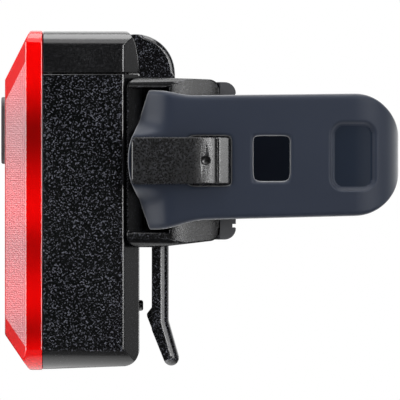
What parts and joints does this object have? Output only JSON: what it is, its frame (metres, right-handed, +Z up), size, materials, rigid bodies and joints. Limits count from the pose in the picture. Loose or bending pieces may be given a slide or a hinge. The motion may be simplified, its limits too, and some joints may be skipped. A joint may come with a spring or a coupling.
{
  "type": "bike rear light",
  "caption": "Battery bike rear light with a bevelled red lens, push button, battery cap and belt clip, docked on a bracket that a rubber strap holds on a seatpost.",
  "frame": {"origin": "on the seatpost's axis, at the height of the strap hooks' middle", "axes": "+Z up along the seatpost, -X from the seatpost towards the lens, so the light shines along -X"},
  "size_m": [0.0729, 0.044, 0.062],
  "materials": {
    "black_texture": "spark-textured black",
    "black_satin": "satin black",
    "pad_rubber": "ribbed dark grey",
    "strap_rubber": "matte blue-grey",
    "seal_rubber": "matte black",
    "red_lens": "clear red",
    "red_reflex": "prismatic red",
    "clear_guide": "clear",
    "led_resin": "clear resin",
    "board_green": "coated board",
    "switch_steel": "tinned",
    "switch_black": "matte black",
    "button_grey": "matte dark grey",
    "bright_steel": "nickel plated",
    "cell_sleeve": "plain printed sleeve"
  },
  "bodies": {
    "mount_set": {"bracket": "black_texture", "seat_pad": "pad_rubber", "strap": "strap_rubber"},
    "light": {"housing": "black_texture", "lens": "red_lens", "lens_seal": "seal_rubber", "reflex_insert": "red_reflex", "light_guide": "clear_guide", "leds": "led_resin", "circuit_board": "board_green", "tact_switch": "switch_steel", "button_boot": "seal_rubber", "board_screws": "bright_steel", "battery_cells": "cell_sleeve", "contact_spring": "bright_steel", "contact_plate": "bright_steel"},
    "button": {"push_button": "button_grey", "switch_plunger": "switch_black"},
    "cap": {"top_cap": "black_satin", "cap_seal": "seal_rubber", "cap_bridge": "bright_steel", "clip_pin": "bright_steel", "clip_spring": "bright_steel"},
    "clip": {"belt_clip": "black_texture"}
  },
  "joints": [
    {"name": "light_release", "type": "slide", "parent": "mount_set", "child": "light", "axis": [0, 0, 1], "range_m": [0, 0.056]},
    {"name": "button_press", "type": "slide", "parent": "light", "child": "button", "axis": [1, 0, 0], "range_m": [0, 0.0005], "stiffness_N_per_m": 2000, "springref_m": -0.0002},
    {"name": "cap_lift", "type": "slide", "parent": "light", "child": "cap", "axis": [0, 0, 1], "range_m": [0, 0.012]},
    {"name": "clip_flex", "type": "hinge", "parent": "cap", "child": "clip", "pos_m": [-0.02427, 0, 0.01795], "axis": [0, -1, 0], "range_deg": [0, 2.5], "stiffness_Nm_per_rad": 1, "springref_deg": -2.86}
  ]
}
